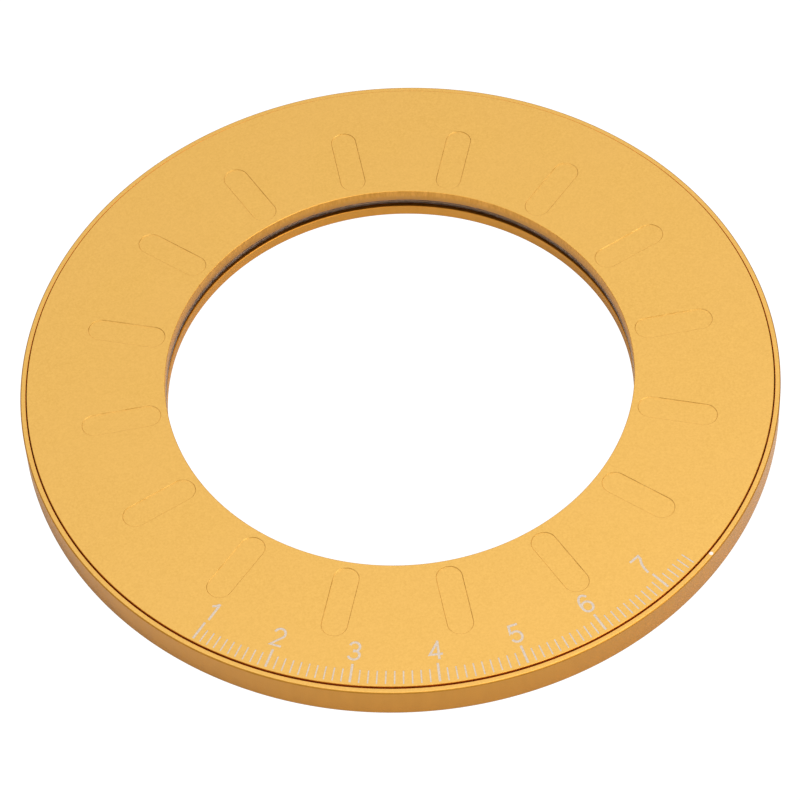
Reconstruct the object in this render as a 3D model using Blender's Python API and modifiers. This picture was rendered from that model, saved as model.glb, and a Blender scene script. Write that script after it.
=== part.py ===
"""Adjustable circle template: a flat ring with a camera iris of 16 thin leaves inside.

The dial turns in the tray. It carries 16 blind radial slots in its underside, and each slot moves the
drive pin of one leaf. The other end of each leaf turns on a pivot pin in the tray. Turning the dial
anticlockwise, seen from above, closes the round opening from 7.7 cm to 0.9 cm across.

Frame: origin at the centre of the underside, +Z up through the dial's face. The index dot of the scale
lies on the rim at INDEX_ANGLE, and angles run anticlockwise from +X.
"""
import math

import bmesh
import bpy
from mathutils import Matrix

MM = 0.001

# Driving dimensions, in millimetres and degrees
OUTER_RADIUS = 62.0
HEIGHT = 6.0
RIM_HEIGHT = 5.7
HOLE_RADIUS = 38.3
RIM_WALL = 0.9
DIAL_GAP = 0.18
DIAL_THICKNESS = 2.35
FLOOR_THICKNESS = 2.0
CHAMBER_RADIUS = 57.5
LEDGE_GAP = 0.08
CHAMFER = 0.2
FOOT_CHAMFER = 0.3

LEAVES = 16
INDEX_ANGLE = -40.0
SLOT_ANGLE = INDEX_ANGLE + 48.05
SLOT_INNER = 39.4
SLOT_OUTER = 52.4
SLOT_WIDTH = 4.24
SLOT_DEPTH = 1.7

# The leaf, about the centre of its arc: arc angles run anticlockwise from the pivot pin
LEAF_INNER = 38.25
LEAF_OUTER = 51.8
LEAF_START = -8.0
LEAF_END = 144.0
LEAF_ROUNDING = 7.0
LEAF_END_COLUMNS = (0.0, 1.2, 3.2)
LEAF_TIP_CUT = 0.9
LEAF_THICKNESS = 0.016
LEAF_PITCH = 0.022
LEAF_TOP_GAP = 0.03
LEAF_COLUMNS = 30
PIVOT_RADIUS = 45.0
DRIVE_ARC_RADIUS = 49.5
DRIVE_ARC_ANGLE = 138.0
DRIVE_SIDE_OFFSET = 0.6
DIAL_TRAVEL = 85.0
LEAF_RATIO = 0.516

PIN_RADIUS = 1.4
PIN_CLEARANCE = 0.1
PIN_SEAT = 0.008
PIVOT_HOLE_DEPTH = 1.3
PIN_END_GAP = 0.15

WIRE_RADIUS = 0.35
WIRE_HEIGHT = 4.8
WIRE_GAP_ANGLE = 8.0
GROOVE_CLEARANCE = 0.13

TURNED_SEGMENTS = 80
PIN_SEGMENTS = 12
SLOT_SEGMENTS = 18
WIRE_POINTS = 60
SHARP_ANGLE = 40.0
MERGE_DISTANCE = 0.01
CUTTER_OVERRUN = 1.0

# Derived sizes
BORE_RADIUS = OUTER_RADIUS - RIM_WALL
DIAL_RADIUS = BORE_RADIUS - DIAL_GAP
DIAL_BOTTOM = HEIGHT - DIAL_THICKNESS
LEDGE_TOP = DIAL_BOTTOM - LEDGE_GAP
WIRE_RING_RADIUS = (BORE_RADIUS + DIAL_RADIUS) / 2
GROOVE_REACH = WIRE_RADIUS + GROOVE_CLEARANCE
STEP_ANGLE = 360.0 / LEAVES

ANODISED_GOLD = {"color": (0.80, 0.50, 0.16, 1.0), "roughness": 0.42, "metallic": 1.0}
LEAF_STEEL = {"color": (0.50, 0.47, 0.46, 1.0), "roughness": 0.35, "metallic": 1.0}
PIN_STEEL = {"color": (0.62, 0.61, 0.60, 1.0), "roughness": 0.30, "metallic": 1.0}
SPRING_BRONZE = {"color": (0.42, 0.21, 0.09, 1.0), "roughness": 0.40, "metallic": 1.0}


def clear_scene():
    for item in list(bpy.data.objects):
        bpy.data.objects.remove(item, do_unlink=True)


def new_collection(name):
    made = bpy.data.collections.new(name)
    bpy.context.scene.collection.children.link(made)
    return made


def new_material(name, look):
    made = bpy.data.materials.new(name)
    made.use_nodes = True
    shader = made.node_tree.nodes["Principled BSDF"]
    shader.inputs["Base Color"].default_value = look["color"]
    shader.inputs["Roughness"].default_value = look["roughness"]
    shader.inputs["Metallic"].default_value = look["metallic"]
    made.diffuse_color = look["color"]
    return made


def add_object(name, data, collection, look=None):
    """Link a new object, with a material of its own when it has a look."""
    made = bpy.data.objects.new(name, data)
    collection.objects.link(made)
    if look:
        made.data.materials.append(new_material(name, look))
    return made


def make_cutter(name, data, collection):
    made = add_object(name, data, collection)
    made.hide_render = True
    made.display_type = "WIRE"
    return made


def turned(name, profile, collection, look):
    """A ring turned about Z from a closed profile of (radius, height), down its outer side first."""
    shape = bmesh.new()
    corners = [shape.verts.new((radius * MM, 0.0, height * MM)) for radius, height in profile]
    for corner, following in zip(corners, corners[1:] + corners[:1]):
        shape.edges.new((corner, following))
    mesh = bpy.data.meshes.new(name)
    shape.to_mesh(mesh)
    shape.free()
    made = add_object(name, mesh, collection, look)
    screw = made.modifiers.new("turn", "SCREW")
    screw.axis = "Z"
    screw.steps = TURNED_SEGMENTS
    screw.render_steps = TURNED_SEGMENTS
    screw.use_merge_vertices = True
    screw.merge_threshold = MERGE_DISTANCE * MM
    screw.use_smooth_shade = False
    return made


def cut(target, cutter):
    boolean = target.modifiers.new("cut_" + cutter.name, "BOOLEAN")
    boolean.operation = "DIFFERENCE"
    boolean.solver = "EXACT"
    boolean.object = cutter


def spots(first_angle):
    """The 16 even angles, in degrees, from the first one."""
    return [first_angle + number * STEP_ANGLE for number in range(LEAVES)]


def polar(angle, radius, height):
    """The matrix that turns by an angle in degrees and moves out by a radius, in millimetres."""
    turn = Matrix.Rotation(math.radians(angle), 4, "Z")
    return turn @ Matrix.Translation((radius * MM, 0.0, height * MM))


def cylinder_at(shape, matrix, radius, depth, segments):
    """Add a closed cylinder to a bmesh, centred on the matrix, and return its vertices."""
    made = bmesh.ops.create_cone(
        shape,
        cap_ends=True,
        segments=segments,
        radius1=radius * MM,
        radius2=radius * MM,
        depth=depth * MM,
        matrix=matrix,
    )
    return made["verts"]


def slot_cutters(collection):
    """Rounded radial slots: cylinders whose two halves are pulled apart along the radius."""
    middle = (SLOT_INNER + SLOT_OUTER) / 2
    pull = (SLOT_OUTER - SLOT_INNER - SLOT_WIDTH) / 2
    radius = SLOT_WIDTH / 2 / math.cos(math.pi / SLOT_SEGMENTS)
    top = DIAL_BOTTOM + SLOT_DEPTH
    bottom = DIAL_BOTTOM - CUTTER_OVERRUN
    shape = bmesh.new()
    for angle in spots(SLOT_ANGLE):
        verts = cylinder_at(shape, Matrix.Identity(4), radius, top - bottom, SLOT_SEGMENTS)
        for vert in verts:
            vert.co.x += math.copysign(pull * MM, vert.co.x)
        bmesh.ops.transform(shape, matrix=polar(angle, middle, (top + bottom) / 2), verts=verts)
    mesh = bpy.data.meshes.new("slot_cutters")
    shape.to_mesh(mesh)
    shape.free()
    return make_cutter("slot_cutters", mesh, collection)


def pivot_hole_cutters(collection):
    top = FLOOR_THICKNESS + CUTTER_OVERRUN
    bottom = FLOOR_THICKNESS - PIVOT_HOLE_DEPTH
    shape = bmesh.new()
    for angle in spots(pivot_angle()):
        matrix = polar(angle, PIVOT_RADIUS, (top + bottom) / 2)
        cylinder_at(shape, matrix, PIN_RADIUS + PIN_CLEARANCE, top - bottom, PIN_SEGMENTS)
    mesh = bpy.data.meshes.new("pivot_hole_cutters")
    shape.to_mesh(mesh)
    shape.free()
    return make_cutter("pivot_hole_cutters", mesh, collection)


def base_tray(parts, cutters):
    """Bottom plate and rim in one piece: a floor under the leaves, a ledge under the dial's edge."""
    profile = [
        (OUTER_RADIUS - CHAMFER, RIM_HEIGHT),
        (OUTER_RADIUS, RIM_HEIGHT - CHAMFER),
        (OUTER_RADIUS, FOOT_CHAMFER),
        (OUTER_RADIUS - FOOT_CHAMFER, 0.0),
        (HOLE_RADIUS + CHAMFER, 0.0),
        (HOLE_RADIUS, CHAMFER),
        (HOLE_RADIUS, FLOOR_THICKNESS),
        (CHAMBER_RADIUS, FLOOR_THICKNESS),
        (CHAMBER_RADIUS, LEDGE_TOP),
        (BORE_RADIUS, LEDGE_TOP),
        (BORE_RADIUS, WIRE_HEIGHT - GROOVE_REACH),
        (WIRE_RING_RADIUS + GROOVE_REACH, WIRE_HEIGHT - GROOVE_REACH),
        (WIRE_RING_RADIUS + GROOVE_REACH, WIRE_HEIGHT + GROOVE_REACH),
        (BORE_RADIUS, WIRE_HEIGHT + GROOVE_REACH),
        (BORE_RADIUS, RIM_HEIGHT),
    ]
    made = turned("base_tray", profile, parts, ANODISED_GOLD)
    cut(made, pivot_hole_cutters(cutters))
    return made


def dial_plate(parts, cutters):
    """The plate that turns. It stands a little proud of the rim, and has the wire's groove in its edge."""
    profile = [
        (DIAL_RADIUS - CHAMFER, HEIGHT),
        (DIAL_RADIUS, HEIGHT - CHAMFER),
        (DIAL_RADIUS, WIRE_HEIGHT + GROOVE_REACH),
        (WIRE_RING_RADIUS - GROOVE_REACH, WIRE_HEIGHT + GROOVE_REACH),
        (WIRE_RING_RADIUS - GROOVE_REACH, WIRE_HEIGHT - GROOVE_REACH),
        (DIAL_RADIUS, WIRE_HEIGHT - GROOVE_REACH),
        (DIAL_RADIUS, DIAL_BOTTOM),
        (HOLE_RADIUS, DIAL_BOTTOM),
        (HOLE_RADIUS, HEIGHT - CHAMFER),
        (HOLE_RADIUS + CHAMFER, HEIGHT),
    ]
    made = turned("dial_plate", profile, parts, ANODISED_GOLD)
    cut(made, slot_cutters(cutters))
    return made


def retaining_ring(parts):
    """A split bronze wire that sits half in the rim's groove and half in the dial's."""
    curve = bpy.data.curves.new("retaining_ring", "CURVE")
    curve.dimensions = "3D"
    curve.bevel_depth = WIRE_RADIUS * MM
    curve.bevel_resolution = 2
    curve.use_fill_caps = True
    wire = curve.splines.new("POLY")
    wire.points.add(WIRE_POINTS - 1)
    span = math.radians(360.0 - WIRE_GAP_ANGLE)
    start = math.radians(INDEX_ANGLE + 180.0 + WIRE_GAP_ANGLE / 2)
    radius = WIRE_RING_RADIUS * MM
    for number, point in enumerate(wire.points):
        angle = start + span * number / (WIRE_POINTS - 1)
        point.co = (radius * math.cos(angle), radius * math.sin(angle), WIRE_HEIGHT * MM, 1.0)
    return add_object("retaining_ring", curve, parts, SPRING_BRONZE)


def pivot_angle():
    """Polar angle of the first pivot, so that its leaf's drive pin starts beside the slot's middle."""
    offset = math.degrees(DRIVE_SIDE_OFFSET / DRIVE_ARC_RADIUS)
    return SLOT_ANGLE + offset - DRIVE_ARC_ANGLE


def leaf_height(arc_angle):
    """Height of a leaf's underside at an arc angle, in millimetres.

    Neighbouring leaves are the same leaf turned by STEP_ANGLE, so each leaf climbs from the tray's side
    of the stack to the dial's and rests on the next one. When the iris is closed, leaves that cross do
    so at arc angles that differ by STEP_ANGLE * (1 - squeeze * cos(arc angle - middle)). The climb is the
    integral of LEAF_PITCH over that difference, so leaves are never closer than LEAF_PITCH.
    """
    closed_turn = math.radians(LEAF_RATIO * DIAL_TRAVEL)
    squeeze = 2 * PIVOT_RADIUS * math.sin(closed_turn / 2) / LEAF_INNER
    middle = math.pi / 2 - closed_turn / 2
    root = math.sqrt(1 - squeeze * squeeze)

    def climb(angle):
        half = (math.radians(angle) - middle) / 2
        steps = 2 / root * math.atan((1 + squeeze) / root * math.tan(half)) / math.radians(STEP_ANGLE)
        return LEAF_PITCH * steps

    highest = DIAL_BOTTOM - LEAF_TOP_GAP - LEAF_THICKNESS
    return highest - climb(LEAF_END) + climb(arc_angle)


def leaf_half_width(arc_angle):
    """Half of a leaf's width at an arc angle: full between its ends, which are rounded."""
    full = (LEAF_OUTER - LEAF_INNER) / 2
    to_end = min(arc_angle - LEAF_START, LEAF_END - arc_angle)
    inside = max(0.0, 1.0 - to_end / LEAF_ROUNDING)
    return full * math.sqrt(1.0 - LEAF_TIP_CUT * inside * inside)


def leaf_columns():
    """Arc angles of the leaf's columns, closer together where its ends are rounded."""
    inner_start = LEAF_START + LEAF_ROUNDING
    inner_span = LEAF_END - LEAF_START - 2 * LEAF_ROUNDING
    count = LEAF_COLUMNS - 2 * len(LEAF_END_COLUMNS)
    first = [LEAF_START + step for step in LEAF_END_COLUMNS]
    middle = [inner_start + inner_span * number / (count - 1) for number in range(count)]
    last = [LEAF_END - step for step in reversed(LEAF_END_COLUMNS)]
    return first + middle + last


def leaf_mesh():
    """One leaf as an open sheet, with the pivot at the origin and its arc's centre along +X."""
    shape = bmesh.new()
    bmesh.ops.create_grid(shape, x_segments=LEAF_COLUMNS - 1, y_segments=1, size=0.5)
    columns = leaf_columns()
    middle = (LEAF_INNER + LEAF_OUTER) / 2
    for vert in shape.verts:
        column = round((vert.co.x + 0.5) * (LEAF_COLUMNS - 1))
        arc_angle = columns[column]
        radius = middle - math.copysign(leaf_half_width(arc_angle), vert.co.y)
        turn = math.pi + math.radians(arc_angle)
        vert.co.x = (PIVOT_RADIUS + radius * math.cos(turn)) * MM
        vert.co.y = radius * math.sin(turn) * MM
        vert.co.z = leaf_height(arc_angle) * MM
    mesh = bpy.data.meshes.new("leaf")
    shape.to_mesh(mesh)
    shape.free()
    return mesh


def add_leaf(number, angle, parts):
    """A leaf with its two pins, under an empty on the pivot's axis."""
    label = f"{number:02d}"
    axis = add_object("leaf_axis_" + label, None, parts)
    axis.location = polar(angle, PIVOT_RADIUS, 0.0).translation
    axis.rotation_euler.z = math.radians(angle + 180.0)

    sheet = add_object("leaf_" + label, leaf_mesh(), parts, LEAF_STEEL)
    thicken = sheet.modifiers.new("thicken", "SOLIDIFY")
    thicken.thickness = LEAF_THICKNESS * MM
    thicken.offset = 1.0

    pivot_top = leaf_height(0.0) - PIN_SEAT
    pivot_bottom = FLOOR_THICKNESS - PIVOT_HOLE_DEPTH + PIN_END_GAP
    pivot = add_pin("pivot_pin_" + label, pivot_bottom, pivot_top, parts)

    drive_bottom = leaf_height(DRIVE_ARC_ANGLE) + LEAF_THICKNESS + PIN_SEAT
    drive_top = DIAL_BOTTOM + SLOT_DEPTH - PIN_END_GAP
    drive = add_pin("drive_pin_" + label, drive_bottom, drive_top, parts)
    turn = math.pi + math.radians(DRIVE_ARC_ANGLE)
    drive.location.x = (PIVOT_RADIUS + DRIVE_ARC_RADIUS * math.cos(turn)) * MM
    drive.location.y = DRIVE_ARC_RADIUS * math.sin(turn) * MM

    for piece in (sheet, pivot, drive):
        piece.parent = axis


def add_pin(name, bottom, top, parts):
    """A plain steel pin that stands between two heights."""
    shape = bmesh.new()
    cylinder_at(shape, Matrix.Identity(4), PIN_RADIUS, top - bottom, PIN_SEGMENTS)
    mesh = bpy.data.meshes.new(name)
    shape.to_mesh(mesh)
    shape.free()
    mesh.shade_smooth()
    mesh.set_sharp_from_angle(angle=math.radians(SHARP_ANGLE))
    made = add_object(name, mesh, parts, PIN_STEEL)
    made.location.z = (bottom + top) / 2 * MM
    return made


def main():
    clear_scene()
    parts = new_collection("adjustable_circle_template")
    cutters = new_collection("cutters")
    base_tray(parts, cutters)
    dial_plate(parts, cutters)
    retaining_ring(parts)
    for index, angle in enumerate(spots(pivot_angle())):
        add_leaf(index + 1, angle, parts)


main()
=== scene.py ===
"""The looks of an adjustable circle template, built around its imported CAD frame.

The tray, the dial and the 16 leaves are made again with finer meshes, at the sizes the frame gives. The
slot outlines, the engraved scale and the index dot are added to them, and every piece gets its finish.
Named lengths are in millimetres and angles in degrees, and MM turns a length into metres.
"""
import math

import bmesh
import bpy
from mathutils import Matrix, Vector, geometry


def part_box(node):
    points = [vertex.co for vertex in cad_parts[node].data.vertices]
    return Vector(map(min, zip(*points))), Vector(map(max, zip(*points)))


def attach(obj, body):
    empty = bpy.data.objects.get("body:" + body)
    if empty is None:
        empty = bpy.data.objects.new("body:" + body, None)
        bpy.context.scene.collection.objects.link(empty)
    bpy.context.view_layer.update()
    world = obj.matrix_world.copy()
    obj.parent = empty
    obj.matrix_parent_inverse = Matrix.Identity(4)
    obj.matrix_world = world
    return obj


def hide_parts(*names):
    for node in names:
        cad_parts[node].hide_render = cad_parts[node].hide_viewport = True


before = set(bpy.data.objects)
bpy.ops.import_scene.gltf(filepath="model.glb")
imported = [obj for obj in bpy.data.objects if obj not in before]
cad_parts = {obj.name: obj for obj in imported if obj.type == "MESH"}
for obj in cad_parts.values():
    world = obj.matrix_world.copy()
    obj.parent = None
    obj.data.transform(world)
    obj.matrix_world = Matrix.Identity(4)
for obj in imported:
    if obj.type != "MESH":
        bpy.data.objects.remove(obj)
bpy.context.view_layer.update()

MM = 0.001


def node_radii(name):
    """The smallest and the largest distance of a CAD node's corners from the axis, in millimetres."""
    distances = [vert.co.xy.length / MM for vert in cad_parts[name].data.vertices]
    return min(distances), max(distances)


def node_heights(name):
    low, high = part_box(name)
    return low.z / MM, high.z / MM


def node_width(name):
    low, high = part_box(name)
    return (high.x - low.x) / MM


def node_centre(name):
    low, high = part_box(name)
    return (low + high) / 2


# Sizes and places that the frame gives
HOLE_RADIUS, OUTER_RADIUS = node_radii("base_tray")
DIAL_RADIUS = node_radii("dial_plate")[1]
DIAL_BOTTOM, HEIGHT = node_heights("dial_plate")
RIM_HEIGHT = node_heights("base_tray")[1]
LEAVES = sum(name.startswith("pivot_pin_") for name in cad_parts)
STEP_ANGLE = 360.0 / LEAVES
PIN_RADIUS = node_width("pivot_pin_01") / 2
PIVOT_PLACE = node_centre("pivot_pin_01")
PIVOT_RADIUS = PIVOT_PLACE.xy.length / MM
PIVOT_ANGLE = math.degrees(math.atan2(PIVOT_PLACE.y, PIVOT_PLACE.x))
LEAF_TOP = node_heights("leaf_01")[1]

# The plates' sections, as in the CAD
RIM_WALL = 0.9
FLOOR_THICKNESS = 2.0
CHAMBER_RADIUS = 57.5
LEDGE_GAP = 0.08
LEDGE_TOP = DIAL_BOTTOM - LEDGE_GAP
WIRE_HEIGHT = 4.8
GROOVE_REACH = 0.48
BORE_RADIUS = OUTER_RADIUS - RIM_WALL
WIRE_RING_RADIUS = (BORE_RADIUS + DIAL_RADIUS) / 2
PIN_CLEARANCE = 0.1
PIVOT_HOLE_RADIUS = PIN_RADIUS + PIN_CLEARANCE
PIVOT_HOLE_DEPTH = 1.3

# Rounded edges of the plates, and the narrow strip beside each one that keeps its shading off the flat
TOP_EDGE = 0.25
HOLE_EDGE = 0.10
DIAL_EDGE = 0.08
LOWER_EDGE = 0.18
FOOT_EDGE = 0.3
FINE_EDGE = 0.06
EDGE_STEPS = 6
FLAT_STRIP = 0.03

# Mesh detail, in segments and degrees, and how far a cutter reaches past what it cuts
TURNED_SEGMENTS = 360
ROUND_SEGMENTS = 32
SLOT_ARC_STEPS = 12
PANEL_ARC_STEPS = 24
SHARP_ANGLE = 30.0
LEAF_SHARP_ANGLE = 40.0
FLAT_ANGLE = 1.0
MERGE_DISTANCE = 0.001
CUTTER_OVERRUN = 0.1

# The 16 radial slots of the dial's underside, and the shallow sunk panels over them on its face
INDEX_ANGLE = -40.0
SLOT_ANGLE = INDEX_ANGLE + 48.05
SLOT_INNER = 39.4
SLOT_OUTER = 52.4
SLOT_WIDTH = 4.24
SLOT_DEPTH = 1.7
PANEL_SLOPE_WIDTH = 0.10
PANEL_DEPTH = 0.10
PANEL_INSET = 0.05

# The engraved scale: the opening in centimetres, one short line a millimetre. A digit's corners are
# mitred, out to half the stroke over MITRE_LIMIT at most, and its strokes are filled on the inside only.
SCALE_FIRST = 10
SCALE_LAST = 75
TICK_OUTER = 60.45
LONG_TICK = 3.4
SHORT_TICK = 2.4
LONG_TICK_WIDTH = 0.40
SHORT_TICK_WIDTH = 0.24
DIGIT_BASE = 56.4
DIGIT_STROKE = 0.41
MARK_DEPTH = 0.03
MARK_SUNK = 0.012
MARK_GAP = 0.006
MITRE_LIMIT = 0.5
INSIDE_ONLY = 1
WELD_DISTANCE = 0.00001

# The index dot, on the rim a little inside its middle
DOT_RADIUS = 0.33
DOT_DEPTH = 0.06
DOT_INSET = 0.05
DOT_PLACE = (OUTER_RADIUS + BORE_RADIUS) / 2 - DOT_INSET

# The linkage that the scale is cut for: pivot, pins, the slot's angle when open, and the leaf's arc.
# The dial's angle for a reading is searched for by halving.
SCALE_PIVOT = 45.24
SCALE_PIN_SPACING = 88.282
SCALE_SLOT_START = 42.847
SCALE_ARC_OFFSET = 44.684
SCALE_ARC_START = -0.33
SCALE_ARC_RADIUS = 38.774
SEARCH_LIMIT = 90.0
SEARCH_STEPS = 40

# The leaf, about the centre of its arc: arc angles run anticlockwise from the pivot pin. Its mesh starts
# as a grid one unit wide, with rows ROW_STEP apart, and LEAF_GRAIN_SHIFT sets each leaf's grain apart.
LEAF_INNER = 38.25
LEAF_OUTER = 51.8
LEAF_START = -8.0
LEAF_END = 144.0
LEAF_THICKNESS = 0.016
LEAF_PITCH = 0.022
LEAF_ROUNDING = 7.0
LEAF_TIP_CUT = 0.9
LEAF_COLUMNS = 181
LEAF_ROWS = 5
ROW_STEP = 1 / (LEAF_ROWS - 1)
LEAF_BAND = 0.18
LEAF_GRAIN_SHIFT = 70.0
LEAF_RATIO = 0.516
DIAL_TRAVEL = 85.0

# Finishes: a mesh face is flat if its normal is nearly upright, and noise mostly keeps to one range. The
# dial's wall round the opening has painted shade up to one height above its foot, and the leaves' sides
# go from painted shade to painted light between two more.
FACE_FLATNESS = 0.97
NOISE_RANGE = (0.3, 0.7)
COAT_ROUGHNESS = 0.3
COAT_IOR = 1.3
# Height above the dial's foot up to which its wall round the opening is painted darker as shade
WALL_SHADE_HEIGHT = 1.5
# Below the first height the leaves' sides are painted brown as shade, above the second they are painted
# lit
SHADED_BELOW = LEAF_TOP - 0.42
LIT_ABOVE = LEAF_TOP - 0.22

# The stage: a white floor, a sky that brightens upwards, lights as (name, place, size, watts), and the
# camera, which looks at the origin
FLOOR_SIZE = 4000.0
FLOOR_DROP = 0.02
FLOOR_WHITE = 0.66
SKY_HORIZON = (0.30, 0.30, 0.31, 1.0)
SKY_ZENITH = (1.15, 1.15, 1.15, 1.0)
SEEN_WHITE = 1.1
LIGHTS = (
    ("overhead", (300.0, -150.0, 930.0), 400.0, 3.2),
    ("front_right", (780.0, -560.0, 560.0), 500.0, 2.2),
)
CAMERA_DISTANCE = 641.5
CAMERA_ELEVATION = 52.9
CAMERA_ROLL = -3.6
CAMERA_LENS = 175.67
CAMERA_SENSOR = 36.0
CAMERA_SHIFT_X = -0.0008
CAMERA_SHIFT_Y = -0.00795
CAMERA_CLIP = 10.0


# ---------------------------------------------------------------- mesh helpers


def polar(angle, radius=0.0, height=0.0):
    """The matrix that turns by an angle in degrees and moves out by a radius, in millimetres."""
    turn = Matrix.Rotation(math.radians(angle), 4, "Z")
    return turn @ Matrix.Translation((radius * MM, 0.0, height * MM))


def add_mesh(name, shape):
    """A new object from a bmesh, which is freed."""
    mesh = bpy.data.meshes.new(name)
    shape.to_mesh(mesh)
    shape.free()
    made = bpy.data.objects.new(name, mesh)
    bpy.context.scene.collection.objects.link(made)
    return made


def settle(piece, sharp_angle=SHARP_ANGLE):
    """Apply the piece's modifiers to its mesh, and shade it smooth between sharp edges."""
    graph = bpy.context.evaluated_depsgraph_get()
    mesh = bpy.data.meshes.new_from_object(piece.evaluated_get(graph), depsgraph=graph)
    piece.modifiers.clear()
    piece.data = mesh
    mesh.name = piece.name
    mesh.shade_smooth()
    mesh.set_sharp_from_angle(angle=math.radians(sharp_angle))


def rounded(corners):
    """A closed profile with its corners rounded, from (radius, height, rounding) in order.

    Each rounded corner becomes an arc, with one point beside each of its ends on the straight side.
    """
    points = []
    for number, (radius, height, rounding) in enumerate(corners):
        corner = Vector((radius, height))
        if rounding == 0.0:
            points.append(corner)
            continue
        before = Vector(corners[number - 1][:2]) - corner
        after = Vector(corners[(number + 1) % len(corners)][:2]) - corner
        before.normalize()
        after.normalize()
        centre = corner + (before + after) * rounding
        points.append(corner + before * (rounding + FLAT_STRIP))
        for step in range(EDGE_STEPS + 1):
            turn = math.pi / 2 * step / EDGE_STEPS
            reach = after * math.cos(turn) + before * math.sin(turn)
            points.append(centre - reach * rounding)
        points.append(corner + after * (rounding + FLAT_STRIP))
    return points


def turned(name, corners):
    """A ring turned about Z from a closed profile that runs down its outer side first."""
    shape = bmesh.new()
    line = [shape.verts.new((point.x * MM, 0.0, point.y * MM)) for point in rounded(corners)]
    for vert, following in zip(line, line[1:] + line[:1]):
        shape.edges.new((vert, following))
    made = add_mesh(name, shape)
    screw = made.modifiers.new("turn", "SCREW")
    screw.axis = "Z"
    screw.steps = TURNED_SEGMENTS
    screw.render_steps = TURNED_SEGMENTS
    screw.use_merge_vertices = True
    screw.merge_threshold = MERGE_DISTANCE * MM
    return made


def cut(target, cutter):
    """Cut one piece with another, which is then removed."""
    boolean = target.modifiers.new("cut", "BOOLEAN")
    boolean.operation = "DIFFERENCE"
    boolean.solver = "EXACT"
    boolean.object = cutter
    settle(target)
    bpy.data.objects.remove(cutter, do_unlink=True)


def stadium(length, width, arc_steps):
    """The outline of a rounded slot along X about the origin, as (point, outward normal) in order."""
    radius = width / 2
    reach = length / 2 - radius
    outline = []
    for side, first_turn in ((1, -math.pi / 2), (-1, math.pi / 2)):
        for step in range(arc_steps + 1):
            turn = first_turn + math.pi * step / arc_steps
            normal = Vector((math.cos(turn), math.sin(turn)))
            outline.append((Vector((side * reach, 0.0)) + normal * radius, normal))
    return outline


def circle(radius):
    """The outline of a circle about the origin."""
    turns = [2 * math.pi * step / ROUND_SEGMENTS for step in range(ROUND_SEGMENTS)]
    return [(radius * math.cos(turn), radius * math.sin(turn)) for turn in turns]


def add_prism(shape, outline, bottom, top, matrix, top_outline=None):
    """Add an upright prism with a flat outline to a bmesh. Its top may have an outline of its own."""
    places = [(outline, bottom), (top_outline or outline, top)]
    low, high = [
        [shape.verts.new(matrix @ Vector((x * MM, y * MM, height * MM))) for x, y in points]
        for points, height in places
    ]
    shape.faces.new(list(reversed(low)))
    shape.faces.new(high)
    for number in range(len(outline)):
        following = (number + 1) % len(outline)
        shape.faces.new((low[number], low[following], high[following], high[number]))


# ---------------------------------------------------------------- the two plates


def spots(first_angle):
    """The 16 even angles, in degrees, from the first one."""
    return [first_angle + number * STEP_ANGLE for number in range(LEAVES)]


def slot_cutter():
    """The blind slots in the dial's underside."""
    outline = [point for point, normal in stadium(SLOT_OUTER - SLOT_INNER, SLOT_WIDTH, SLOT_ARC_STEPS)]
    middle = (SLOT_INNER + SLOT_OUTER) / 2
    bottom = DIAL_BOTTOM - CUTTER_OVERRUN
    shape = bmesh.new()
    for angle in spots(SLOT_ANGLE):
        add_prism(shape, outline, bottom, DIAL_BOTTOM + SLOT_DEPTH, polar(angle, middle))
    return add_mesh("slot_cutter", shape)


def pivot_hole_cutter():
    """The blind holes in the tray's floor."""
    outline = circle(PIVOT_HOLE_RADIUS)
    bottom = FLOOR_THICKNESS - PIVOT_HOLE_DEPTH
    top = FLOOR_THICKNESS + CUTTER_OVERRUN
    shape = bmesh.new()
    for angle in spots(PIVOT_ANGLE):
        add_prism(shape, outline, bottom, top, polar(angle, PIVOT_RADIUS))
    return add_mesh("pivot_hole_cutter", shape)


def panel_cutter():
    """A shallow sunk panel with sloping sides over each slot, on the dial's face.

    The sides are PANEL_SLOPE_WIDTH wide, and run PANEL_INSET inside the slot's outline.
    """
    middle = (SLOT_INNER + SLOT_OUTER) / 2
    outline = stadium(SLOT_OUTER - SLOT_INNER, SLOT_WIDTH, PANEL_ARC_STEPS)
    lower = [point - normal * (PANEL_INSET + PANEL_SLOPE_WIDTH / 2) for point, normal in outline]
    upper = [point + normal * (PANEL_SLOPE_WIDTH * 3 / 2 - PANEL_INSET) for point, normal in outline]
    shape = bmesh.new()
    for angle in spots(SLOT_ANGLE):
        place = polar(angle, middle)
        add_prism(shape, lower, HEIGHT - PANEL_DEPTH, HEIGHT + PANEL_DEPTH, place, upper)
    return add_mesh("panel_cutter", shape)


def make_tray():
    corners = [
        (OUTER_RADIUS, RIM_HEIGHT, TOP_EDGE),
        (OUTER_RADIUS, 0.0, FOOT_EDGE),
        (HOLE_RADIUS, 0.0, HOLE_EDGE),
        (HOLE_RADIUS, FLOOR_THICKNESS, LOWER_EDGE),
        (CHAMBER_RADIUS, FLOOR_THICKNESS, 0.0),
        (CHAMBER_RADIUS, LEDGE_TOP, 0.0),
        (BORE_RADIUS, LEDGE_TOP, 0.0),
        (BORE_RADIUS, WIRE_HEIGHT - GROOVE_REACH, 0.0),
        (WIRE_RING_RADIUS + GROOVE_REACH, WIRE_HEIGHT - GROOVE_REACH, 0.0),
        (WIRE_RING_RADIUS + GROOVE_REACH, WIRE_HEIGHT + GROOVE_REACH, 0.0),
        (BORE_RADIUS, WIRE_HEIGHT + GROOVE_REACH, 0.0),
        (BORE_RADIUS, RIM_HEIGHT, FINE_EDGE),
    ]
    tray = turned("tray", corners)
    settle(tray)
    cut(tray, pivot_hole_cutter())
    return tray


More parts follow.
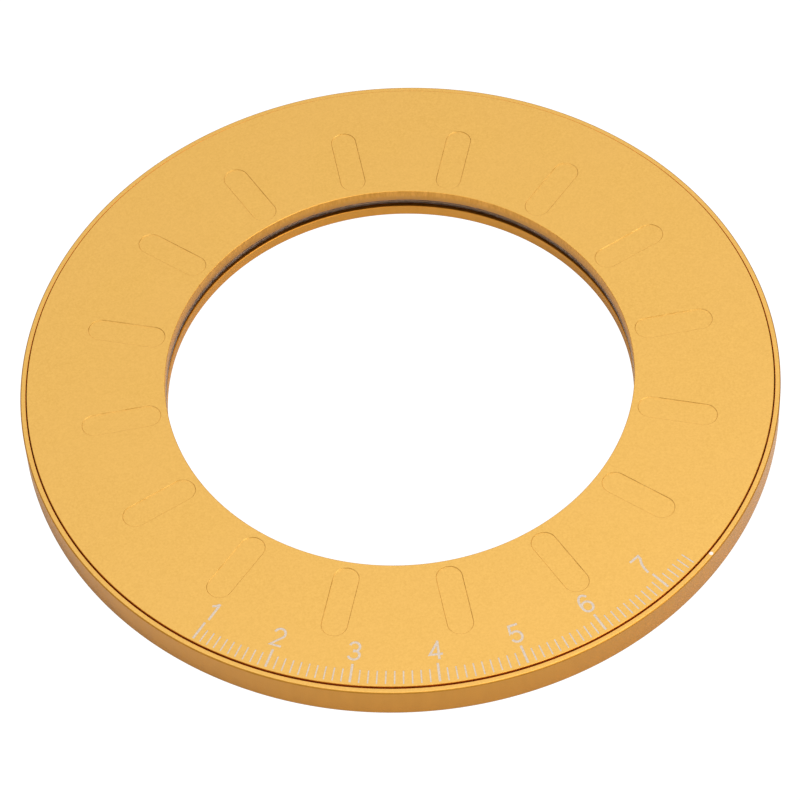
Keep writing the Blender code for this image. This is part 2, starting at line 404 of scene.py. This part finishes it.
def make_dial():
    corners = [
        (DIAL_RADIUS, HEIGHT, DIAL_EDGE),
        (DIAL_RADIUS, WIRE_HEIGHT + GROOVE_REACH, 0.0),
        (WIRE_RING_RADIUS - GROOVE_REACH, WIRE_HEIGHT + GROOVE_REACH, 0.0),
        (WIRE_RING_RADIUS - GROOVE_REACH, WIRE_HEIGHT - GROOVE_REACH, 0.0),
        (DIAL_RADIUS, WIRE_HEIGHT - GROOVE_REACH, 0.0),
        (DIAL_RADIUS, DIAL_BOTTOM, FINE_EDGE),
        (HOLE_RADIUS, DIAL_BOTTOM, LOWER_EDGE),
        (HOLE_RADIUS, HEIGHT, HOLE_EDGE),
    ]
    dial = turned("dial", corners)
    settle(dial)
    cut(dial, slot_cutter())
    cut(dial, panel_cutter())
    return dial


# ---------------------------------------------------------------- the scale


def opening(turn):
    """Diameter of the opening in millimetres when the dial has turned by an angle from fully open."""

    def leaf_turn(slot_angle):
        slot = math.radians(slot_angle)
        reach = math.sqrt(SCALE_PIN_SPACING ** 2 - (SCALE_PIVOT * math.sin(slot)) ** 2)
        along = reach - SCALE_PIVOT * math.cos(slot)
        return math.atan2(along * math.sin(slot), SCALE_PIVOT + along * math.cos(slot))

    swing = leaf_turn(turn - SCALE_SLOT_START) - leaf_turn(-SCALE_SLOT_START)
    swing += math.radians(SCALE_ARC_START)
    across = SCALE_ARC_OFFSET * math.sin(swing)
    along = SCALE_ARC_OFFSET * math.cos(swing) - SCALE_PIVOT
    return 2 * (SCALE_ARC_RADIUS - math.hypot(along, across))


def scale_angle(diameter):
    """Polar angle of the scale's line for a diameter in millimetres."""
    low, high = 0.0, SEARCH_LIMIT
    for _ in range(SEARCH_STEPS):
        middle = (low + high) / 2
        if opening(middle) > diameter:
            low = middle
        else:
            high = middle
    return INDEX_ANGLE - low


def arc(centre_x, centre_y, radius_x, radius_y, start, end, steps=20):
    """Points along part of an ellipse, with angles in degrees."""
    turns = [math.radians(start + (end - start) * step / steps) for step in range(steps + 1)]
    return [
        Vector((centre_x + radius_x * math.cos(turn), centre_y + radius_y * math.sin(turn)))
        for turn in turns
    ]


def line(*places):
    return [Vector(place) for place in places]


def digit_strokes(digit):
    """Centre lines of a plain digit's strokes, 3.5 high, about X = 0, from its foot at Y = 0."""
    if digit == 1:
        return [line((0.2, 0.0), (0.2, 3.4)), arc(-1.25, 3.9, 1.5, 1.5, -70, -22)]
    if digit == 2:
        return [arc(0.0, 2.42, 0.86, 0.9, 172, -38) + line((-0.82, 0.175), (0.98, 0.175))]
    if digit == 3:
        return [arc(-0.03, 2.5, 0.78, 0.82, 165, -90) + arc(-0.02, 0.98, 0.88, 0.82, 90, -165)]
    if digit == 4:
        return [line((1.0, 0.95), (-1.05, 0.95), (0.4, 3.3)), line((0.34, 0.0), (0.34, 3.45))]
    if digit == 5:
        top = line((0.85, 3.325), (-0.58, 3.325), (-0.78, 1.8))
        return [top + arc(0.0, 1.14, 0.88, 0.97, 135, -160)]
    if digit == 6:
        bowl = arc(0.02, 1.12, 0.86, 0.95, 180, -180, 32)
        return [bowl, arc(0.12, 1.55, 0.98, 1.78, 42, 198)]
    return [line((-0.95, 3.325), (0.86, 3.325)) + arc(1.9, -0.25, 2.15, 3.5, 122, 176)]


def ribbon(points, width):
    """Quads along a stroke of constant width, with mitred corners and square ends."""
    sides = []
    for number, point in enumerate(points):
        before = (point - points[number - 1]).normalized() if number > 0 else None
        after = (points[number + 1] - point).normalized() if number + 1 < len(points) else None
        if before is None or after is None:
            along = after or before
            offset = Vector((-along.y, along.x)) * (width / 2)
        else:
            along = (before + after).normalized()
            across = Vector((-along.y, along.x))
            mitre = across.dot(Vector((-after.y, after.x)))
            offset = across * (width / 2 / max(MITRE_LIMIT, mitre))
        sides.append((point + offset, point - offset))
    return [[a[0], a[1], b[1], b[0]] for a, b in zip(sides, sides[1:])]


def add_slab(shape, quads, bottom, top, matrix):
    """Add the union of flat quads to a bmesh, as one slab with a thickness."""
    corners = [corner for quad in quads for corner in quad]
    loops = [list(range(4 * number, 4 * number + 4)) for number in range(len(quads))]
    flat = geometry.delaunay_2d_cdt(corners, [], loops, INSIDE_ONLY, WELD_DISTANCE)
    places, _, cells, _, _, sources = flat
    verts = [shape.verts.new((place.x * MM, place.y * MM, top * MM)) for place in places]
    covered = [cell for cell, source in zip(cells, sources) if source]
    faces = [shape.faces.new([verts[index] for index in cell]) for cell in covered]
    edges = list({edge for face in faces for edge in face.edges})
    bmesh.ops.dissolve_limit(shape, angle_limit=math.radians(FLAT_ANGLE), verts=verts, edges=edges)
    faces = list({face for vert in verts if vert.is_valid for face in vert.link_faces})
    grown = bmesh.ops.extrude_face_region(shape, geom=faces)["geom"]
    lower = [item for item in grown if isinstance(item, bmesh.types.BMVert)]
    bmesh.ops.translate(shape, vec=(0.0, 0.0, (bottom - top) * MM), verts=lower)
    moved = set(lower)
    for face in faces:
        moved.update(face.verts)
    bmesh.ops.transform(shape, matrix=matrix, verts=list(moved))


def tick_quads(gap):
    """The scale's lines as (matrix, quads), each in its own frame, with +X out from the centre."""
    found = []
    for reading in range(SCALE_FIRST, SCALE_LAST + 1):
        is_long = reading % 10 == 0
        length = LONG_TICK if is_long else SHORT_TICK
        width = (LONG_TICK_WIDTH if is_long else SHORT_TICK_WIDTH) - 2 * gap
        ends = line((TICK_OUTER - length + gap, 0.0), (TICK_OUTER - gap, 0.0))
        found.append((polar(scale_angle(reading)), ribbon(ends, width)))
    return found


def digit_quads(digit, gap):
    """A number of the scale as (matrix, quads), with its top towards the centre."""
    place = polar(scale_angle(digit * 10), DIGIT_BASE) @ Matrix.Rotation(math.pi / 2, 4, "Z")
    quads = []
    for stroke in digit_strokes(digit):
        quads += ribbon(stroke, DIGIT_STROKE - 2 * gap)
    return place, quads


def mark_shape(marks, bottom, top):
    shape = bmesh.new()
    for matrix, quads in marks:
        add_slab(shape, quads, bottom, top, matrix)
    bmesh.ops.recalc_face_normals(shape, faces=shape.faces)
    return shape


def make_scale(dial):
    """Engrave the lines and numbers into the dial, and lay the pale metal in them."""
    digits = range(SCALE_FIRST // 10, SCALE_LAST // 10 + 1)
    pockets = tick_quads(0.0) + [digit_quads(digit, 0.0) for digit in digits]
    pocket_shape = mark_shape(pockets, HEIGHT - MARK_DEPTH, HEIGHT + CUTTER_OVERRUN)
    cut(dial, add_mesh("mark_cutter", pocket_shape))
    bottom = HEIGHT - MARK_DEPTH + MARK_GAP
    top = HEIGHT - MARK_SUNK
    marks = [add_mesh("scale_lines", mark_shape(tick_quads(MARK_GAP), bottom, top))]
    for digit in digits:
        shape = mark_shape([digit_quads(digit, MARK_GAP)], bottom, top)
        marks.append(add_mesh(f"scale_number_{digit}", shape))
    return marks


def make_index_dot(tray):
    """The white dot on the rim, in a shallow round pocket."""

    def disc(radius, bottom, top):
        shape = bmesh.new()
        add_prism(shape, circle(radius), bottom, top, polar(INDEX_ANGLE, DOT_PLACE))
        return shape

    bottom = RIM_HEIGHT - DOT_DEPTH
    cut(tray, add_mesh("dot_cutter", disc(DOT_RADIUS, bottom, RIM_HEIGHT + CUTTER_OVERRUN)))
    shape = disc(DOT_RADIUS - MARK_GAP, bottom + MARK_GAP, RIM_HEIGHT - MARK_GAP)
    return add_mesh("index_dot", shape)


# ---------------------------------------------------------------- the leaves


def leaf_height(arc_angle):
    """Height of a leaf's underside, which climbs along its arc.

    The rate of climb is a pitch a step, divided by 1 - squeeze * cos(angle - middle). It is steepest
    where the closed leaves lie closest to the centre, so that leaves that cross never touch.
    """
    closed_turn = math.radians(LEAF_RATIO * DIAL_TRAVEL)
    squeeze = 2 * PIVOT_RADIUS * math.sin(closed_turn / 2) / LEAF_INNER
    middle = math.pi / 2 - closed_turn / 2
    root = math.sqrt(1 - squeeze * squeeze)

    def climb(angle):
        """The rate's integral, in closed form."""
        half = (math.radians(angle) - middle) / 2
        steps = 2 / root * math.atan((1 + squeeze) / root * math.tan(half)) / math.radians(STEP_ANGLE)
        return LEAF_PITCH * steps

    return LEAF_TOP - LEAF_THICKNESS - climb(LEAF_END) + climb(arc_angle)


def leaf_half_width(arc_angle):
    full = (LEAF_OUTER - LEAF_INNER) / 2
    to_end = min(arc_angle - LEAF_START, LEAF_END - arc_angle)
    inside = max(0.0, 1.0 - to_end / LEAF_ROUNDING)
    return full * math.sqrt(1.0 - LEAF_TIP_CUT * inside * inside)


def leaf_mesh(number):
    """The underside of a leaf, with its pivot at the origin and its arc's centre along +X.

    Its first material is for the flat, and its second for a narrow band along each long edge. Its UV
    map runs along the leaf and across it, in metres.
    """
    shape = bmesh.new()
    bmesh.ops.create_grid(shape, x_segments=LEAF_COLUMNS - 1, y_segments=LEAF_ROWS - 1, size=0.5)
    middle = (LEAF_INNER + LEAF_OUTER) / 2
    grain_map = shape.loops.layers.uv.new("grain")
    for face in shape.faces:
        face.material_index = 1 if abs(face.calc_center_median().y) > ROW_STEP else 0
        for corner in face.loops:
            along = math.radians(LEAF_END - LEAF_START) * middle * corner.vert.co.x
            across = LEAF_GRAIN_SHIFT * number - (LEAF_OUTER - LEAF_INNER) * corner.vert.co.y
            corner[grain_map].uv = (along * MM, across * MM)
    for vert in shape.verts:
        arc_angle = LEAF_START + (LEAF_END - LEAF_START) * (vert.co.x + 0.5)
        half_width = leaf_half_width(arc_angle)
        row = round(abs(vert.co.y) / ROW_STEP)
        reach = (0.0, half_width - LEAF_BAND, half_width)[row]
        radius = middle - math.copysign(reach, vert.co.y)
        turn = math.pi + math.radians(arc_angle)
        vert.co.x = (PIVOT_RADIUS + radius * math.cos(turn)) * MM
        vert.co.y = radius * math.sin(turn) * MM
        vert.co.z = leaf_height(arc_angle) * MM
    mesh = bpy.data.meshes.new("leaf")
    shape.to_mesh(mesh)
    shape.free()
    return mesh


def make_leaf(number, finishes):
    """One leaf in its place, with a third material on the narrow sides that the thickness adds.

    The mesh itself is turned, not the object, so that the object's box stays as small as the leaf.
    """
    angle = PIVOT_ANGLE + number * STEP_ANGLE
    leaf = bpy.data.objects.new(f"iris_leaf_{number + 1:02d}", leaf_mesh(number))
    bpy.context.scene.collection.objects.link(leaf)
    for finish in finishes:
        leaf.data.materials.append(finish)
    thicken = leaf.modifiers.new("thicken", "SOLIDIFY")
    thicken.thickness = LEAF_THICKNESS * MM
    thicken.offset = 1.0
    thicken.material_offset_rim = 1
    settle(leaf, LEAF_SHARP_ANGLE)
    leaf.data.transform(polar(angle, PIVOT_RADIUS) @ Matrix.Rotation(math.pi, 4, "Z"))
    return leaf


# ---------------------------------------------------------------- materials


class Shade:
    """A material's node tree, with short calls for the nodes that the finishes use."""

    def __init__(self, name):
        self.material = bpy.data.materials.new(name)
        self.material.use_nodes = True
        self.tree = self.material.node_tree
        self.shader = self.tree.nodes["Principled BSDF"]
        places = self.add("ShaderNodeTexCoord").outputs
        self.object_place = places["Object"]
        self.grain_place = places["UV"]

    def add(self, kind, **values):
        node = self.tree.nodes.new(kind)
        for name, value in values.items():
            setattr(node, name, value)
        return node

    def link(self, source, target):
        self.tree.links.new(source, target)

    def noise(self, grain, stretch=(1.0, 1.0, 1.0), detail=2.0, roughness=0.5, place=None):
        """Noise with a grain size in millimetres, stretched along the piece's axes or its UV map's."""
        mapping = self.add("ShaderNodeMapping")
        mapping.inputs["Scale"].default_value = [1.0 / (grain * MM * share) for share in stretch]
        self.link(place or self.object_place, mapping.inputs["Vector"])
        texture = self.add("ShaderNodeTexNoise")
        texture.inputs["Scale"].default_value = 1.0
        texture.inputs["Detail"].default_value = detail
        texture.inputs["Roughness"].default_value = roughness
        self.link(mapping.outputs["Vector"], texture.inputs["Vector"])
        return texture.outputs["Fac"]

    def spread(self, source, low=NOISE_RANGE[0], high=NOISE_RANGE[1], to_low=0.0, to_high=1.0):
        """Map a range of a value onto another."""
        node = self.add("ShaderNodeMapRange")
        node.inputs["From Min"].default_value = low
        node.inputs["From Max"].default_value = high
        node.inputs["To Min"].default_value = to_low
        node.inputs["To Max"].default_value = to_high
        self.link(source, node.inputs["Value"])
        return node.outputs["Result"]

    def mix(self, factor, first, second):
        """Mix two colours, each a tuple or another node's output."""
        node = self.add("ShaderNodeMix", data_type="RGBA")
        self.link(factor, node.inputs["Factor"])
        sockets = [socket for socket in node.inputs if socket.type == "RGBA"]
        for socket, colour in zip(sockets, (first, second)):
            if isinstance(colour, tuple):
                socket.default_value = colour + (1.0,)
            else:
                self.link(colour, socket)
        return [socket for socket in node.outputs if socket.type == "RGBA"][0]

    def times(self, first, second):
        node = self.add("ShaderNodeMath", operation="MULTIPLY")
        self.link(first, node.inputs[0])
        self.link(second, node.inputs[1])
        return node.outputs["Value"]

    def height(self):
        """The height in the piece's own frame, in metres."""
        node = self.add("ShaderNodeSeparateXYZ")
        self.link(self.object_place, node.inputs["Vector"])
        return node.outputs["Z"]

    def bump(self, source, depth, strength):
        """Bump with a depth in millimetres."""
        node = self.add("ShaderNodeBump")
        node.inputs["Distance"].default_value = depth * MM
        node.inputs["Strength"].default_value = strength
        self.link(source, node.inputs["Height"])
        return node.outputs["Normal"]

    def finish(self, colour, roughness, normal=None, metallic=1.0):
        """Set the shader, where the roughness is a number or, like the rest, another node's output."""
        inputs = self.shader.inputs
        inputs["Metallic"].default_value = metallic
        self.link(colour, inputs["Base Color"])
        if isinstance(roughness, float):
            inputs["Roughness"].default_value = roughness
        else:
            self.link(roughness, inputs["Roughness"])
        if normal:
            self.link(normal, inputs["Normal"])
        return self.material


def blasted_gold():
    """The plates' faces: fine bead blasting under satin gold anodising."""
    shade = Shade("blasted_gold")
    grain = shade.noise(0.34, detail=3.0, roughness=0.65)
    cloud = shade.noise(9.0, detail=4.0, roughness=0.6)
    fine = shade.mix(shade.spread(grain), (0.775, 0.453, 0.107), (0.865, 0.544, 0.147))
    colour = shade.mix(shade.spread(cloud, 0.2, 0.8, 0.0, 0.35), fine, (0.840, 0.510, 0.150))
    roughness = shade.spread(grain, *NOISE_RANGE, 0.48, 0.60)
    normal = shade.bump(shade.noise(0.30, detail=3.0, roughness=0.6), 0.02, 0.6)
    return shade.finish(colour, roughness, normal)


def shaded_wall_gold(name, dark, light, coat):
    """An upright wall: a turned surface, a little smoother, with upright streaks, painted darker and
    redder than the face as shade.
    """
    shade = Shade(name)
    streak = shade.noise(1.6, stretch=(1.0, 1.0, 6.0), detail=3.0, roughness=0.55)
    colour = shade.mix(shade.spread(streak), dark, light)
    roughness = shade.spread(streak, *NOISE_RANGE, 0.40, 0.50)
    normal = shade.bump(shade.noise(0.30, detail=2.0), 0.010, 0.5)
    shade.shader.inputs["Coat Weight"].default_value = coat
    shade.shader.inputs["Coat Roughness"].default_value = COAT_ROUGHNESS
    shade.shader.inputs["Coat IOR"].default_value = COAT_IOR
    return shade.finish(colour, roughness, normal)


def hole_wall_shaded_gold():
    """The dial's wall round the opening: mottled, darker and redder than the face, and grey-brown low
    down, all of it painted shade.
    """
    shade = Shade("hole_wall_shaded_gold")
    streak = shade.noise(0.5, stretch=(1.0, 1.0, 4.0), detail=4.0, roughness=0.7)
    # Painted shade: from one height above the foot down, the wall darkens to grey-brown
    low = shade.spread(shade.height(), (DIAL_BOTTOM + WALL_SHADE_HEIGHT) * MM, DIAL_BOTTOM * MM)
    gold = shade.mix(shade.spread(streak, 0.35, 0.65), (0.680, 0.318, 0.050), (0.860, 0.445, 0.090))
    low_down = shade.times(low, shade.spread(streak, 0.4, 0.65, 0.45, 0.95))
    colour = shade.mix(low_down, gold, (0.400, 0.205, 0.090))
    normal = shade.bump(shade.noise(0.35, stretch=(1.0, 1.0, 3.0), detail=3.0), 0.02, 0.6)
    return shade.finish(colour, shade.spread(streak, *NOISE_RANGE, 0.34, 0.50), normal)


def rubbed_metal():
    """The lower edge of the opening, where the leaves have worn through to pale metal."""
    shade = Shade("rubbed_metal")
    streak = shade.noise(1.0, stretch=(1.0, 1.0, 4.0), detail=3.0)
    colour = shade.mix(shade.spread(streak, 0.35, 0.65), (0.340, 0.200, 0.125), (0.500, 0.345, 0.270))
    return shade.finish(colour, roughness=0.4)


def seam_shaded_gold():
    """The sloping sides of the sunk panels, painted darker as shade, more in some patches than in
    others.
    """
    shade = Shade("seam_shaded_gold")
    patch = shade.noise(2.2, detail=3.0)
    colour = shade.mix(shade.spread(patch, 0.42, 0.60), (0.620, 0.345, 0.075), (0.840, 0.510, 0.135))
    return shade.finish(colour, roughness=0.55)


def shaded_patchy_gold(name, dark, light):
    """A plain surface, slightly patchy, painted darker and redder than the face as shade: the rounded
    edges, the gap and the inside.
    """
    shade = Shade(name)
    patch = shade.noise(2.0, detail=3.0)
    colour = shade.mix(shade.spread(patch), dark, light)
    return shade.finish(colour, roughness=0.5)


def leaf_steel():
    """A leaf's flat: rolled spring steel with fine lines along the leaf, and faint oil marks."""
    shade = Shade("leaf_steel")
    place = shade.grain_place
    lines = shade.noise(0.14, stretch=(40.0, 1.0, 1.0), detail=3.0, roughness=0.6, place=place)
    cloud = shade.noise(7.0, detail=3.0, place=place)
    bare = shade.mix(shade.spread(lines), (0.400, 0.385, 0.370), (0.520, 0.500, 0.480))
    colour = shade.mix(shade.spread(cloud, 0.35, 0.7, 0.0, 0.5), bare, (0.300, 0.265, 0.230))
    roughness = shade.spread(lines, *NOISE_RANGE, 0.40, 0.50)
    return shade.finish(colour, roughness, shade.bump(lines, 0.003, 0.6))


def leaf_band_steel():
    """The narrow band along a leaf's long edges, burnished by the next leaf."""
    shade = Shade("leaf_band_steel")
    grain = shade.noise(0.8, detail=3.0, roughness=0.6)
    colour = shade.mix(shade.spread(grain), (0.640, 0.540, 0.440), (0.770, 0.670, 0.565))
    return shade.finish(colour, shade.spread(grain, *NOISE_RANGE, 0.30, 0.42))


def leaf_edge_steel():
    """A leaf's narrow sides: dark brown where they lie low, as painted shade, and pale copper next to
    the dial, as painted light.
    """
    shade = Shade("leaf_edge_steel")
    grain = shade.noise(0.4, detail=3.0, roughness=0.6)
    lit_colour = shade.mix(shade.spread(grain), (0.820, 0.530, 0.350), (0.930, 0.660, 0.465))
    # Painted shade low in the stack and painted light at its top, by height
    lit_share = shade.spread(shade.height(), SHADED_BELOW * MM, LIT_ABOVE * MM)
    colour = shade.mix(lit_share, (0.230, 0.070, 0.015), lit_colour)
    return shade.finish(colour, shade.spread(grain, *NOISE_RANGE, 0.26, 0.40))


def pin_steel():
    shade = Shade("pin_steel")
    rings = shade.noise(0.08, stretch=(20.0, 20.0, 1.0), detail=2.0)
    colour = shade.mix(shade.spread(rings), (0.560, 0.550, 0.540), (0.680, 0.670, 0.655))
    roughness = shade.spread(rings, *NOISE_RANGE, 0.24, 0.36)
    return shade.finish(colour, roughness, shade.bump(rings, 0.003, 0.5))


def spring_bronze():
    shade = Shade("spring_bronze")
    drawn = shade.noise(0.5, stretch=(1.0, 1.0, 0.2), detail=3.0)
    colour = shade.mix(shade.spread(drawn), (0.300, 0.130, 0.045), (0.420, 0.200, 0.080))
    return shade.finish(colour, shade.spread(drawn, *NOISE_RANGE, 0.32, 0.46))


def engraved_metal():
    """Laser marking: the anodising is gone and the pale metal is matt and slightly uneven."""
    shade = Shade("engraved_metal")
    grain = shade.noise(0.30, detail=3.0, roughness=0.7)
    colour = shade.mix(shade.spread(grain), (0.540, 0.430, 0.330), (0.720, 0.620, 0.520))
    return shade.finish(colour, 0.7, shade.bump(grain, 0.01, 0.5), metallic=0.35)


def white_paint():
    shade = Shade("white_paint")
    grain = shade.noise(0.2, detail=2.0)
    colour = shade.mix(shade.spread(grain), (0.76, 0.70, 0.62), (0.86, 0.80, 0.72))
    return shade.finish(colour, 0.45, shade.bump(grain, 0.01, 0.3), metallic=0.0)


# ---------------------------------------------------------------- putting it together


def paint(piece, material):
    piece.data.materials.clear()
    piece.data.materials.append(material)


def paint_plate(plate, finishes, finish_of):
    """Give each face of a plate the finish that finish_of names for its radius, height and flatness."""
    mesh = plate.data
    mesh.materials.clear()
    for material in finishes.values():
        mesh.materials.append(material)
    names = list(finishes)
    for face in mesh.polygons:
        radius = face.center.xy.length / MM
        height = face.center.z / MM
        flatness = abs(face.normal.z)
        face.material_index = names.index(finish_of(radius, height, flatness))


def tray_finish(radius, height, flatness):
    is_flat = flatness > FACE_FLATNESS
    # The foot's rounding next to the floor is painted pinkish brown as shade
    if height < FOOT_EDGE and not is_flat:
        return "foot"
    # The rim's outer rounding is painted darker: a painted shade line where it would catch a highlight
    if height > RIM_HEIGHT - TOP_EDGE and radius > BORE_RADIUS + FINE_EDGE and not is_flat:
        return "rim edge"
    between = HOLE_RADIUS + LOWER_EDGE / 3 < radius < BORE_RADIUS + FINE_EDGE
    if between and FOOT_EDGE < height < RIM_HEIGHT:
        # Between the plates the gap and the recess are painted dark as shade
        return "gap" if radius > CHAMBER_RADIUS + FINE_EDGE else "recess"
    if is_flat:
        return "face"
    # Upright faces take the darker wall golds, which are painted shade
    return "wall" if radius > BORE_RADIUS else "lower wall"


def dial_finish(radius, height, flatness):
    on_face = HOLE_RADIUS + HOLE_EDGE < radius < DIAL_RADIUS - DIAL_EDGE
    if on_face and height > HEIGHT - PANEL_DEPTH * 2:
        return "face" if flatness > FACE_FLATNESS else "seam"
    if radius < HOLE_RADIUS + LOWER_EDGE:
        return "hole" if height > DIAL_BOTTOM + LOWER_EDGE else "low_down"
    # The dial's outer wall takes the painted-shade wall gold above the rim, and the gap's gold below it
    if radius > DIAL_RADIUS - DIAL_EDGE:
        return "wall" if height > RIM_HEIGHT else "gap"
    # The dial's underside and slots take the painted-shade recess gold
    return "recess"


def build_object():
    gold = blasted_gold()
    # The walls' golds are darker, redder copies of the face's gold: painted shade on the upright faces
    wall = shaded_wall_gold("outer_wall_shaded_gold", (0.660, 0.300, 0.028), (0.710, 0.335, 0.038), 0.6)
    lower_wall = shaded_wall_gold("lower_wall_shaded_gold", (0.740, 0.360, 0.060), (0.790, 0.395, 0.074), 0.0)

    tray = make_tray()
    dot = make_index_dot(tray)
    # The recess and the gap are painted dark red-brown as shade; the rim's rounded edge and the foot are
    # painted darker as shade
    recess = shaded_patchy_gold("recess_shaded_gold", (0.520, 0.190, 0.020), (0.640, 0.240, 0.030))
    gap = shaded_patchy_gold("gap_shaded_gold", (0.760, 0.210, 0.020), (0.860, 0.280, 0.030))
    rim_edge = shaded_patchy_gold("rim_edge_shaded_gold", (0.530, 0.240, 0.030), (0.600, 0.275, 0.042))
    foot = shaded_patchy_gold("foot_shaded_gold", (0.520, 0.300, 0.140), (0.620, 0.370, 0.180))
    tray_finishes = {
        "face": gold,
        "wall": wall,
        "lower wall": lower_wall,
        "recess": recess,
        "gap": gap,
        "rim edge": rim_edge,
        "foot": foot,
    }
    paint_plate(tray, tray_finishes, tray_finish)
    paint(dot, white_paint())
    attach(tray, "base")
    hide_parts("base_tray")
    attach(dot, "base")

    dial = make_dial()
    marks = make_scale(dial)
    dial_finishes = {
        "face": gold,
        "wall": wall,
        "hole": hole_wall_shaded_gold(),
        "low_down": rubbed_metal(),
        "seam": seam_shaded_gold(),
        "recess": recess,
        "gap": gap,
    }
    paint_plate(dial, dial_finishes, dial_finish)
    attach(dial, "dial")
    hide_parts("dial_plate")
    pale = engraved_metal()
    for mark in marks:
        paint(mark, pale)
        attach(mark, "dial")

    leaf_finishes = (leaf_steel(), leaf_band_steel(), leaf_edge_steel())
    for number in range(LEAVES):
        leaf = make_leaf(number, leaf_finishes)
        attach(leaf, f"leaf_{number + 1:02d}")
        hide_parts(f"leaf_{number + 1:02d}")

    pins = pin_steel()
    for name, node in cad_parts.items():
        if "_pin_" in name:
            node.material_slots[0].material = pins
    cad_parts["retaining_ring"].material_slots[0].material = spring_bronze()


# ---------------------------------------------------------------- floor, light and camera


def seen_white(tree, lit, target):
    """Show white to the camera itself, and the lit shader to everything else."""
    rays = tree.nodes.new("ShaderNodeLightPath")
    of_world = target.node.type == "OUTPUT_WORLD"
    white = tree.nodes.new("ShaderNodeBackground" if of_world else "ShaderNodeEmission")
    white.inputs["Color"].default_value = (1.0, 1.0, 1.0, 1.0)
    white.inputs["Strength"].default_value = SEEN_WHITE
    mix = tree.nodes.new("ShaderNodeMixShader")
    tree.links.new(rays.outputs["Is Camera Ray"], mix.inputs[0])
    tree.links.new(lit, mix.inputs[1])
    tree.links.new(white.outputs[0], mix.inputs[2])
    tree.links.new(mix.outputs[0], target)


def make_floor():
    shape = bmesh.new()
    bmesh.ops.create_grid(shape, x_segments=1, y_segments=1, size=FLOOR_SIZE / 2 * MM)
    floor = add_mesh("floor", shape)
    floor.location.z = -FLOOR_DROP * MM
    material = bpy.data.materials.new("pale_floor")
    material.use_nodes = True
    shader = material.node_tree.nodes["Principled BSDF"]
    shader.inputs["Base Color"].default_value = (FLOOR_WHITE, FLOOR_WHITE, FLOOR_WHITE, 1.0)
    shader.inputs["Roughness"].default_value = 1.0
    output = material.node_tree.nodes["Material Output"]
    seen_white(material.node_tree, shader.outputs[0], output.inputs["Surface"])
    floor.data.materials.append(material)


def make_world():
    """A soft sky that brightens from the horizon up."""
    world = bpy.data.worlds.new("studio")
    bpy.context.scene.world = world
    world.use_nodes = True
    tree = world.node_tree
    place = tree.nodes.new("ShaderNodeTexCoord")
    split = tree.nodes.new("ShaderNodeSeparateXYZ")
    ramp = tree.nodes.new("ShaderNodeValToRGB")
    tree.links.new(place.outputs["Generated"], split.inputs["Vector"])
    tree.links.new(split.outputs["Z"], ramp.inputs["Fac"])
    ramp.color_ramp.elements[0].position = 0.0
    ramp.color_ramp.elements[0].color = SKY_HORIZON
    ramp.color_ramp.elements[1].position = 1.0
    ramp.color_ramp.elements[1].color = SKY_ZENITH
    background = tree.nodes["Background"]
    background.inputs["Strength"].default_value = 1.0
    tree.links.new(ramp.outputs["Color"], background.inputs["Color"])
    output = tree.nodes["World Output"]
    seen_white(tree, background.outputs[0], output.inputs["Surface"])


def make_light(name, place, size, power):
    """A soft square light that faces the origin, with its place and size in millimetres."""
    data = bpy.data.lights.new(name, "AREA")
    data.size = size * MM
    data.energy = power
    light = bpy.data.objects.new(name, data)
    bpy.context.scene.collection.objects.link(light)
    light.location = Vector(place) * MM
    light.rotation_euler = light.location.to_track_quat("Z", "Y").to_euler()


def make_camera():
    data = bpy.data.cameras.new("camera")
    data.lens = CAMERA_LENS
    data.sensor_width = CAMERA_SENSOR
    data.shift_x = CAMERA_SHIFT_X
    data.shift_y = CAMERA_SHIFT_Y
    data.clip_start = CAMERA_CLIP * MM
    camera = bpy.data.objects.new("camera", data)
    bpy.context.scene.collection.objects.link(camera)
    tilt = Matrix.Rotation(math.radians(90.0 - CAMERA_ELEVATION), 4, "X")
    back = Matrix.Translation((0.0, 0.0, CAMERA_DISTANCE * MM))
    roll = Matrix.Rotation(math.radians(CAMERA_ROLL), 4, "Z")
    camera.matrix_world = tilt @ back @ roll
    bpy.context.scene.camera = camera


build_object()
make_floor()
make_world()
for light in LIGHTS:
    make_light(*light)
make_camera()
bpy.context.scene.view_settings.view_transform = "Standard"
